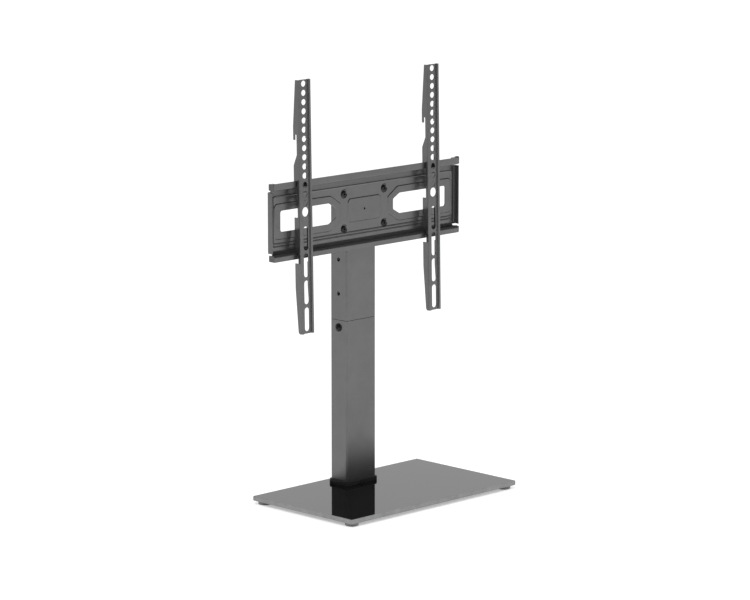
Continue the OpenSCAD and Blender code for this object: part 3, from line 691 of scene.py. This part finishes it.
makeGlass(glassValues)
makeFeet(footProfile)
makeUnderside(underValues)
print("base made")
screwLevel = sum(boxOf("height_screw_left"))[2] / 2
mastSteps = [screwLevel + columnValues["stepPitch"] * number for number in range(columnValues["steps"])]
makeTube("lower_tube", "lower_column", "base", columnValues, columnValues["wall"],
         columnValues["cornerRadius"], [screwLevel])
makeTube("upper_tube", "upper_column", "head", columnValues, columnValues["wall"],
         columnValues["cornerRadius"], mastSteps[1:3])
makeTube("mast_tube", "inner_mast", "base", columnValues, columnValues["mastWall"],
         columnValues["mastRadius"], mastSteps)
makeCollar(collarValues)
makeColumnCap(capValues)
makeHeightScrews(screwValues)
makeMastNuts(nutValues, mastSteps)
print("column made")


# Head: bracket, welds, mount plate and what holds it

headValues = {"bracketRim": 0.6, "bracketRadius": 2.5, "boreRadius": 3.3, "boltX": 48, "boltZ": 30,
              "weldLeg": 3.5, "weldRipple": 0.16, "ripplePitch": 1.7, "weldStep": 0.45, "weldRoot": 1.2,
              "weldBulge": 1.35, "weldFade": 2.5}


def plateCentre():        # height of the mount plate's centre line
    low, high = boxOf("head_bracket")
    return (low[2] + high[2]) / 2


def boltSpots(values):
    centre = plateCentre()
    return [(sideX * values["boltX"], centre + sideZ * values["boltZ"])
            for sideX in (-1, 1) for sideZ in (-1, 1)]


# The weld's section is a bulged triangle between the bracket and the column; every ripple moves it a little.
def weldBead(values, side, front, columnX, low, high):
    count = int((high - low) / values["weldStep"])
    heights = np.linspace(low, high, count)
    leg = values["weldLeg"]
    phase = 2 * np.pi * (heights - low) / values["ripplePitch"]
    fade = np.clip(np.minimum(heights - low, high - heights) / values["weldFade"], 0.25, 1)
    size = fade * (1 - values["weldRipple"] / 2 * (1 - np.cos(phase)))
    angles = np.linspace(0, np.pi / 2, 7)
    root, bulge = values["weldRoot"], values["weldBulge"]
    alongX = np.concatenate([[-root], leg * np.cos(angles) ** bulge, [-root]])
    alongY = np.concatenate([[-root], 2 * leg * np.sin(angles) ** bulge, [2 * leg * 0.55]])
    alongX[1] = leg
    rings = np.stack([
        columnX + side * np.where(alongX > 0, alongX * size[:, None], alongX),
        front + np.where(alongY > 0, alongY * size[:, None], 0.05),
        np.broadcast_to(heights[:, None], (count, len(alongX)))], -1)
    return ringMesh(rings[:, ::-1] if side > 0 else rings)


# An upright sheet with four holes, and a weld on each side of the column.
def makeBracket(values):
    low, high = boxOf("head_bracket")
    tubeLow, tubeHigh = boxOf("upper_column")
    front = tubeLow[1]
    centre = plateCentre()
    outline = boxLoop(high[0] - low[0], high[2] - low[2], values["bracketRadius"], (0, centre))
    holes = [circleLoop(spot, values["boreRadius"]) for spot in boltSpots(values)]
    addPiece("bracket_plate", sheetMesh(outline, holes, [], roundRim(values["bracketRim"]), front - low[1],
                                        frontFold(low[1])),
             "head", ["head_bracket"], finishes["darkSteel"])
    beads = [weldBead(values, side, front, side * (tubeHigh[0] + 0.1), low[2] + 1, high[2] - 1)
             for side in (-1, 1)]
    addPiece("bracket_welds", joinMeshes(*beads), "head", ["head_bracket"],
             finishes["bareSteel"])


plateValues = {
    "thickness": 2, "rim": 0.35, "lipTall": 12, "capWall": 1, "flangeDepth": 10, "reliefLength": 5,
    "reliefHeight": 2.5, "cornerRadius": 0.8, "lowerLipBend": 4.6, "lowerBend": 5.5, "upperBend": 1.2,
    "upperLipBend": 2.2, "flangeBend": 1.2,
    "zoneEnd": 9.5, "zoneHalf": 43.5, "zoneRadius": 6, "zoneFoot": 38.6, "firstStep": 0.6, "firstWidth": 0.8,
    "bead": 0.4, "beadWidth": 2.4, "raised": 2.4, "raisedWidth": 1.7,
    "windowIn": 69, "windowOut": 197.5, "windowHalf": 17.8, "windowCut": (15.6, 9), "windowRadius": 4,
    "frameIn": 56, "frameOut": 212.5, "frameHalf": 30.8, "frameCut": (24, 16), "frameRadius": 9,
    "fieldSize": (80, 42), "fieldRadius": 8, "centreBore": 1.75,
    "dimple": 1.5, "dimpleFoot": 6.5, "dimpleEdge": 8,
}


# Outline with a pointed inner end, cut by two slanted corners, and round outer corners.
def windowLoop(inner, outer, half, cut, radius, side, turnStep=10.0):
    corners = np.array([[inner, -half + cut[1]], [inner + cut[0], -half], [outer, -half], [outer, half],
                        [inner + cut[0], half], [inner, half - cut[1]]], float)
    radii = np.array([radius, 2 * radius, radius, radius, 2 * radius, radius]) * [0.6, 0.8, 1, 1, 0.8, 0.6]
    corners[:, 0] *= side
    return turnedLoop(roundedLoop(corners, radii, turnStep), 1)


def smooth(value):
    share = np.clip(value, 0, 1)
    return share * share * (3 - 2 * share)


# The press lifts the zone in two stages that share all sides but the lower one, rolls a bead along its edge,
# and lifts frames and field; smooth(distance inside / width) is the share of each step. A place on the sheet
# is the place on the path across plus the place on the path up, and it faces along the cross product of the
# two headings.
def makeMountPlate(values, head):
    low, high = boxOf("mount_plate")
    centre = plateCentre()
    lipFront, panelFront = low[1], high[1] - values["thickness"]
    plateHalf = high[0]
    railHalf = boxOf("rail_cap_top_right")[1][0] - values["capWall"]
    lipTop = high[2] - centre
    shelf = lipTop - values["lipTall"]
    upPath = BentPath([[lipFront, -lipTop], [lipFront, -shelf], [panelFront, -shelf],
                       [panelFront, shelf], [lipFront, shelf], [lipFront, lipTop]],
                      [values["lowerLipBend"], values["lowerBend"], values["upperBend"],
                       values["upperLipBend"]], 8, zeroRun=2)
    flangeX = plateHalf - values["thickness"]
    flangeFront = panelFront - values["flangeDepth"]
    sidePath = BentPath([[-flangeX, flangeFront], [-flangeX, panelFront], [flangeX, panelFront],
                         [flangeX, flangeFront]], values["flangeBend"], 8)
    flangeHalf = shelf - values["reliefHeight"]
    reliefX = railHalf - values["reliefLength"]
    bends = upPath.bendLines.reshape(4, -1)
    shelfLow, shelfHigh = bends[1].min() - 0.1, bends[2].max() + 0.1

    def fold(u, v):
        byX, headingX = sidePath.at(u)
        byZ, headingZ = upPath.at(v)
        panel = (np.abs(v) < flangeHalf + 0.2)[:, None]
        byX = np.where(panel, byX, np.stack([u, np.full_like(u, panelFront)], 1))
        headingX = np.where(panel, headingX, [1.0, 0.0])
        place = np.stack([byX[:, 0], byZ[:, 0] + byX[:, 1] - panelFront, byZ[:, 1] + centre], 1)
        facing = unitRows(np.stack([headingX[:, 1] * headingZ[:, 1], -headingX[:, 0] * headingZ[:, 1],
                                    headingX[:, 0] * headingZ[:, 0]], 1))
        return place, facing

    zone = boxLoop(2 * (plateHalf - values["zoneEnd"]), 2 * values["zoneHalf"], values["zoneRadius"])
    upper = boxLoop(2 * (plateHalf - values["zoneEnd"]), values["zoneHalf"] + values["zoneFoot"],
                    values["zoneRadius"], (0, (values["zoneHalf"] - values["zoneFoot"]) / 2))
    fieldLoop = boxLoop(*values["fieldSize"], values["fieldRadius"])
    frames = [windowLoop(values["frameIn"], values["frameOut"], values["frameHalf"], values["frameCut"],
                         values["frameRadius"], side) for side in (-1, 1)]
    spots = [(x, z - centre) for x, z in boltSpots(head)]

    def height(points):
        width = values["firstWidth"]
        ground = 0
        for loop in (zone, upper):
            inside = signedDistance(points, [loop])
            fading = 1 - smooth((inside - width) / values["beadWidth"])
            bead = values["bead"] * smooth(inside / width) * fading
            ground = ground + values["firstStep"] * smooth(inside / width) + bead
        share = smooth(signedDistance(points, [fieldLoop, *frames]) / values["raisedWidth"])
        return ground * (1 - share) + values["raised"] * share

    def dimples(points):
        nearest = np.min([np.hypot(points[:, 0] - x, points[:, 1] - z) for x, z in spots], 0)
        fall = (values["dimpleEdge"] - nearest) / (values["dimpleEdge"] - values["dimpleFoot"])
        return values["dimple"] * smooth(fall)

    stepShares = np.array([0, 0.12, 0.28, 0.5, 0.72, 0.88, 1])
    bead = values["firstWidth"] + values["beadWidth"] * np.array([0.25, 0.5, 0.75, 1])
    creases = [(insetLoop(loop, inset), True) for loop in (zone, upper)
               for inset in [*(values["firstWidth"] * stepShares), *bead]]
    creases += [(insetLoop(loop, values["raisedWidth"] * share), True)
                for loop in (fieldLoop, *frames) for share in stepShares]
    dimpleWidth = values["dimpleEdge"] - values["dimpleFoot"]
    creases += [(circleLoop(spot, values["dimpleFoot"] + dimpleWidth * share, 44), True)
                for spot in spots for share in stepShares]
    creases += [(np.array([[-plateHalf - 20, line], [plateHalf + 20, line]]), False)
                for line in upPath.bendLines]
    creases += [(np.array([[line, -flangeHalf - 0.1], [line, flangeHalf + 0.1]]), False)
                for line in sidePath.bendLines]
    top = np.array([[railHalf, upPath.high], [railHalf, shelfHigh], [reliefX, shelfHigh],
                    [reliefX, flangeHalf], [sidePath.high, flangeHalf]])
    bottom = np.array([[railHalf, upPath.low], [railHalf, shelfLow], [reliefX, shelfLow],
                       [reliefX, -flangeHalf], [sidePath.high, -flangeHalf]])
    corners = np.concatenate([bottom, top[::-1], top * [-1, 1], bottom[::-1] * [-1, 1]])
    holes = [windowLoop(values["windowIn"], values["windowOut"], values["windowHalf"], values["windowCut"],
                        values["windowRadius"], side) for side in (-1, 1)]
    holes += [circleLoop(spot, head["boreRadius"]) for spot in spots]
    holes.append(circleLoop((0, 0), values["centreBore"], 24))
    mesh = sheetMesh(roundedLoop(corners, values["cornerRadius"], 18), holes, creases,
                     roundRim(values["rim"]), values["thickness"], fold, height, sink=dimples)
    addPiece("pressed_plate", mesh, "head", ["mount_plate"], finishes["darkSteel"])


boltValues = {"shank": 3, "headRadius": 5.7, "headTall": 2.9, "rim": 0.9, "socketHalf": 2.1,
              "socketDepth": 1.8, "washerRadius": 6, "washerBore": 3.3, "washerRim": 0.25}


# Turned bolts seated in the dimples, with washers and hexagon nuts behind the bracket.
def makePlateBolts(values, head, nuts):
    low, high = boxOf("plate_bolts")
    washerLow, washerHigh = boxOf("plate_washers")
    seat = boxOf("head_bracket")[0][1] - plateValues["thickness"] + plateValues["dimple"]
    rows = headRows(values["shank"], high[1] - seat, values["headRadius"], values["headTall"], values["rim"],
                    values["socketHalf"], values["socketDepth"])
    spots = boltSpots(head)
    bolts = joinMeshes(*[turnedMesh(rows, (x, seat, z), "front", 60) for x, z in spots])
    addPiece("plate_bolt_heads", bolts, "head", ["plate_bolts"], finishes["blackSteel"])
    rows = ringProfile(values["washerBore"], values["washerRadius"], 0, washerHigh[1] - washerLow[1],
                       values["washerRim"])
    washers = [turnedMesh(rows, (x, washerLow[1], z), "back", 48, closed=True) for x, z in spots]
    addPiece("plate_washer_set", joinMeshes(*washers), "head", ["plate_washers"],
             finishes["zincSteel"])
    rows = nutRows(nuts["half"], nuts["tall"], nuts["bore"])
    hexagons = [turnedMesh(rows, (x, washerHigh[1], z), "back", 36, closed=True) for x, z in spots]
    addPiece("plate_nut_set", joinMeshes(*hexagons), "head", ["plate_nuts"],
             finishes["zincSteel"])


railCapValues = {"wall": 1, "stopDepth": 6.5, "stopHeight": 2.2, "corner": 1.3, "ease": 0.35, "clear": 0.1}


def easedRows(start, end, ease):        # places along a block and the inset there, both ends eased
    return [(start, ease), (start + 0.3 * ease, 0.3 * ease), (start + ease, 0),
            (end - ease, 0), (end - 0.3 * ease, 0.3 * ease), (end, ease)]


def easedSlab(outline, start, end, ease):        # a YZ outline carried along X, with its borders eased
    return ringMesh([np.column_stack([np.full(len(outline), x), insetLoop(outline, inset)])
                     for x, inset in easedRows(start, end, ease)])


# An end wall with round corners, and the block behind the lip that grips the rail; the stop is the part of
# the wall at the right end of the top rail that stands above the lip.
def makeRailCaps(values, thickness):
    for level in ("top", "bottom"):
        for side, sign in (("left", -1), ("right", 1)):
            node = "rail_cap_" + level + "_" + side
            low, high = boxOf(node)
            top = level == "top"
            stop = values["stopHeight"] if top and sign > 0 else 0
            crown = high[2] - stop
            corners = [[low[1], low[2]], [high[1], low[2]], [high[1], crown], [low[1], crown]]
            if stop > 0:
                corners = corners[:3] + [[low[1] + values["stopDepth"], high[2]], [low[1], high[2]]]
            wall = roundedLoop(corners, values["corner"], 15)
            split = (low[0] + values["wall"]) if sign < 0 else (high[0] - values["wall"])
            wallEnds = (low[0], split) if sign < 0 else (split, high[0])
            blockEnds = (split - 0.3, high[0]) if sign < 0 else (low[0], split + 0.3)
            foot = boxOf("mount_plate")[1][2] - plateValues["lipTall"] + thickness if top else low[2]
            head = crown if top else boxOf("mount_plate")[0][2] + plateValues["lipTall"] - thickness
            block = roundedLoop([[low[1] + thickness + values["clear"], foot + values["clear"]],
                                 [high[1], foot + values["clear"]], [high[1], head - values["clear"]],
                                 [low[1] + thickness + values["clear"], head - values["clear"]]],
                                values["corner"], 15)
            shells = [easedSlab(wall, *wallEnds, values["ease"]),
                      easedSlab(block, *blockEnds, values["ease"])]
            addPiece("rail_end_" + level + "_" + side, joinMeshes(*shells), "head", [node],
                     finishes["darkPlastic"])


# Arms

armValues = {
    "thickness": 1.5, "rim": 0.3, "ridge": 5.5, "webDepth": 3,
    "flangeBend": 2.8, "ridgeBend": 1.4, "webBend": 0.7,
    "length": 428, "lean": 1, "seat": 259.4, "seatDepth": 10.3, "seatClear": 0.3, "stand": 8,
    "holeRadius": 5.1, "firstDrop": 7, "pitch": 200 / 13, "holes": 14, "slotRise": 4, "slots": 4,
    "slotWidth": 10.2, "slotLength": 40.3, "slotGap": 5.5,
    "wideGap": 16.5, "wideWidth": 14, "wideLength": 15.8,
    "notchLow": 119.9, "notchHigh": 134.9, "cornerRadius": 0.7,
    "flange": [(6.5, 0), (9, 3), (14.6, 78), (14.6, 119.9), (2, 119.9), (2, 134.9), (6.7, 134.9),
               (6.7, 139.4), (14.6, 139.4), (14.6, 197.4), (6.7, 197.4), (6.7, 259.4), (10.3, 259.4),
               (10.3, 250.9),
               (14.6, 250.9), (14.6, 285), (6.7, 303), (6.7, 336.8), (10.3, 336.8), (10.3, 327.6),
               (14.6, 327.6), (14.6, 350), (8.3, 428)],
}


def slotLoop(rise, width, length):        # a slot with round ends, centred on the web
    return boxLoop(width, length, width / 2 - 0.01, (0, rise + length / 2), 12)


# An arm leans about the back edge of its seat: a depth and a rise along the arm, turned by the lean.
def leaning(values):
    low = boxOf("mount_plate")[0]
    front, seatLevel = low[1] - values["stand"], boxOf("mount_plate")[1][2] + values["seatClear"]
    lean = math.radians(values["lean"])
    cosine, sine = math.cos(lean), math.sin(lean)
    deep, rise = values["seatDepth"], values["seat"]

    def turned(depth, height):
        return (front + deep + (depth - deep) * cosine + (height - rise) * sine,
                seatLevel + (height - rise) * cosine - (depth - deep) * sine)
    return turned, cosine, sine


# The arm's section runs flange, ridge, web, ridge, flange; its flat outline carries the hooks on both sides.
def makeArm(values, side):
    low, high = boxOf(side + "_arm")
    middle = (low[0] + high[0]) / 2
    half = (high[0] - low[0]) / 2
    turned, cosine, sine = leaning(values)
    deepest = max(depth for depth, rise in values["flange"]) + 2
    web = half - values["ridge"]
    radii = [values["flangeBend"], values["ridgeBend"], values["webBend"]]
    path = BentPath([[-half, deepest], [-half, 0], [-web, 0], [-web, values["webDepth"]],
                     [web, values["webDepth"]], [web, 0], [half, 0], [half, deepest]],
                    radii + radii[::-1], 6)

    def fold(u, v):
        place, heading = path.at(u)
        y, z = turned(place[:, 1], v)
        return (np.stack([place[:, 0] + middle, y, z], 1),
                np.stack([heading[:, 1], -heading[:, 0] * cosine, heading[:, 0] * sine], 1))

    edge = [(path.high - deepest + depth, rise) for depth, rise in values["flange"]]
    corners = np.array(edge + [(-u, rise) for u, rise in edge[::-1]])
    outline = roundedLoop(corners, values["cornerRadius"], 18)
    holes = [circleLoop((0, values["length"] - values["firstDrop"] - number * values["pitch"]),
                        values["holeRadius"], 40) for number in range(values["holes"])]
    rise = values["slotRise"]
    for number in range(values["slots"]):
        holes.append(slotLoop(rise, values["slotWidth"], values["slotLength"]))
        rise += values["slotLength"] + values["slotGap"]
    rise += values["wideGap"] - values["slotGap"]
    holes.append(slotLoop(rise, values["wideWidth"], values["wideLength"]))
    creases = upLines(path.bendLines, 0, values["length"])
    mesh = sheetMesh(outline, holes, creases, roundRim(values["rim"]), values["thickness"], fold)
    addPiece(side + "_arm_channel", mesh, side + "_arm", [side + "_arm"],
             finishes["darkSteel"])


catchValues = {"gap": 0.1, "back": 6.7, "ease": 0.3, "corner": 0.3, "bridge": 3.8}


# A block fills the notch of each flange, and a bridge behind the web joins the two at the top; each is a
# rounded plan carried up the leaning arm, with eased ends.
def makeCatch(values, arm, side):
    low, high = boxOf(side + "_arm")
    middle, half = (low[0] + high[0]) / 2, (high[0] - low[0]) / 2
    turned = leaning(arm)[0]
    gap, ease, back = values["gap"], values["ease"], values["back"]
    inner = half - arm["ridge"] + arm["thickness"] + gap
    end = arm["thickness"] + gap
    web = end + arm["webDepth"]
    bottom, top = arm["notchLow"] + gap, arm["notchHigh"] - gap

    def block(start, finish, front, foot):
        plan = roundedLoop([[start, front], [finish, front], [finish, back], [start, back]],
                           values["corner"], 30)
        rings = []
        for rise, inset in easedRows(foot, top, ease):
            loop = insetLoop(plan, inset)
            y, z = turned(loop[:, 1], np.full(len(loop), rise))
            rings.append(np.column_stack([loop[:, 0] + middle, y, z]))
        return ringMesh(rings)

    shells = [block(-half, -inner, end, bottom), block(inner, half, end, bottom),
              block(-inner - ease, inner + ease, web, top - values["bridge"])]
    addPiece(side + "_catch_block", joinMeshes(*shells), side + "_arm", [side + "_arm_catch"],
             finishes["blackPlastic"])


makeBracket(headValues)
makeMountPlate(plateValues, headValues)
makePlateBolts(boltValues, headValues, nutValues)
makeRailCaps(railCapValues, plateValues["thickness"])
print("head made")
for side in ("left", "right"):
    makeArm(armValues, side)
    makeCatch(catchValues, armValues, side)
print("arms made")

carriedOver = {"lower_gasket": "rubber", "upper_gasket": "rubber", "glass_bushes": "rubber",
               "column_foot_plate": "darkSteel"}
for node, finish in carriedOver.items():
    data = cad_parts[node].data
    data.materials.clear()
    data.materials.append(finishes[finish])
print("inner parts finished")


# Stage, light and camera

stageValues = {"floorSize": 30, "floorColour": 0.8, "floorGlow": 0.4, "skyDiffuse": 0.8,
               "backdropTurn": 45, "backdropStart": 0.35, "backdropFull": 0.8, "studioDark": 0.06,
               "keyPower": 60, "keySize": 2.2, "keyPlace": (-2.6, -1.2, 3.4),
               "fillPower": 25, "fillSize": 2.6, "fillPlace": (1.8, -3.4, 2.0), "aimHeight": 0.35}


def seenDirectly(tree):        # one on rays of the camera, of reflections and through glass
    path = addNode(tree, "ShaderNodeLightPath")
    first = addNode(tree, "ShaderNodeMath", [
        (0, path.outputs["Is Camera Ray"]), (1, path.outputs["Is Glossy Ray"])], operation="MAXIMUM")
    return addNode(tree, "ShaderNodeMath", [(0, first.outputs[0]), (1, path.outputs["Is Transmission Ray"])],
                   operation="MAXIMUM").outputs[0]


# A white floor that keeps the shadow, a world that is bright on one side for reflections, and two lamps.
def makeStage(values):
    size = values["floorSize"]
    corners = np.array([[-1, -1, 0], [1, -1, 0], [1, 1, 0], [-1, 1, 0]]) * size / 2
    data = bpy.data.meshes.new("studio_floor")
    data.from_pydata(corners.tolist(), [], [(0, 1, 2, 3)])
    floor = bpy.data.objects.new("studio_floor", data)
    scene.collection.objects.link(floor)
    material = bpy.data.materials.new("studio_floor")
    material.use_nodes = True
    tree = material.node_tree
    tree.nodes.clear()
    colour = values["floorColour"]
    matt = addNode(tree, "ShaderNodeBsdfDiffuse", [("Color", (colour, colour, colour, 1))])
    scale = addNode(tree, "ShaderNodeMath", [(0, seenDirectly(tree)), (1, values["floorGlow"])],
                    operation="MULTIPLY")
    glow = addNode(tree, "ShaderNodeEmission", [("Strength", scale.outputs[0])])
    both = addNode(tree, "ShaderNodeAddShader", [(0, matt.outputs[0]), (1, glow.outputs[0])])
    addNode(tree, "ShaderNodeOutputMaterial", [("Surface", both.outputs[0])])
    data.materials.append(material)
    world = bpy.data.worlds.new("studio_air")
    scene.world = world
    world.use_nodes = True
    tree = world.node_tree
    sky = tree.nodes["Background"]
    sky.inputs["Color"].default_value = (1, 1, 1, 1)
    ray = addNode(tree, "ShaderNodeTexCoord").outputs["Generated"]
    towards = math.radians(values["backdropTurn"])
    behind = addNode(tree, "ShaderNodeVectorMath", [
        (0, ray), (1, (math.sin(towards), math.cos(towards), 0))], operation="DOT_PRODUCT").outputs["Value"]
    backdrop = addNode(tree, "ShaderNodeMapRange", [
        ("Value", behind), ("From Min", values["backdropStart"]), ("From Max", values["backdropFull"]),
        ("To Min", values["studioDark"]), ("To Max", 1.0)],
                       interpolation_type="SMOOTHSTEP").outputs["Result"]
    path = addNode(tree, "ShaderNodeLightPath")
    seen = addNode(tree, "ShaderNodeMath", [
        (0, path.outputs["Is Camera Ray"]), (1, path.outputs["Is Transmission Ray"])],
                   operation="MAXIMUM").outputs[0]
    mirrored = addNode(tree, "ShaderNodeMath", [(0, path.outputs["Is Glossy Ray"]), (1, backdrop)],
                       operation="MULTIPLY").outputs[0]
    shown = addNode(tree, "ShaderNodeMath", [(0, seen), (1, mirrored)], operation="MAXIMUM").outputs[0]
    scattered = addNode(tree, "ShaderNodeMath", [
        (0, path.outputs["Is Diffuse Ray"]), (1, values["skyDiffuse"])], operation="MULTIPLY").outputs[0]
    level = addNode(tree, "ShaderNodeMath", [(0, shown), (1, scattered)], operation="MAXIMUM").outputs[0]
    tree.links.new(level, sky.inputs["Strength"])
    for name in ("key", "fill"):
        lamp = bpy.data.lights.new(name + "_light", "AREA")
        lamp.shape = "DISK"
        lamp.size = values[name + "Size"]
        lamp.energy = values[name + "Power"]
        holder = bpy.data.objects.new(name + "_light", lamp)
        holder.location = values[name + "Place"]
        aim = Vector((0, 0, values["aimHeight"])) - holder.location
        holder.rotation_euler = aim.to_track_quat("-Z", "Y").to_euler()
        holder.visible_glossy = False
        scene.collection.objects.link(holder)


cameraValues = {"lens": 171.72, "sensor": 36, "azimuth": 45.03, "elevation": 10.51, "distance": 6.0811,
                "aimAcross": -0.01797, "aimHeight": 0.34244, "reach": 60}


# The camera stands back from the aim by the distance, along a line given by azimuth and elevation.
def makeCamera(values):
    azimuth, elevation = math.radians(values["azimuth"]), math.radians(values["elevation"])
    across = Vector((math.cos(azimuth), -math.sin(azimuth), 0))
    ahead = Vector((math.sin(azimuth) * math.cos(elevation), math.cos(azimuth) * math.cos(elevation),
                    -math.sin(elevation)))
    aim = across * values["aimAcross"] + Vector((0, 0, values["aimHeight"]))
    data = bpy.data.cameras.new("photo_camera")
    data.lens = values["lens"]
    data.sensor_width = values["sensor"]
    data.sensor_fit = "HORIZONTAL"
    data.clip_end = values["reach"]
    camera = bpy.data.objects.new("photo_camera", data)
    camera.location = aim - ahead * values["distance"]
    camera.rotation_euler = ahead.to_track_quat("-Z", "Y").to_euler()
    scene.collection.objects.link(camera)
    scene.camera = camera


makeStage(stageValues)
makeCamera(cameraValues)
scene.view_settings.view_transform = "Standard"
print("stage, light and camera set")
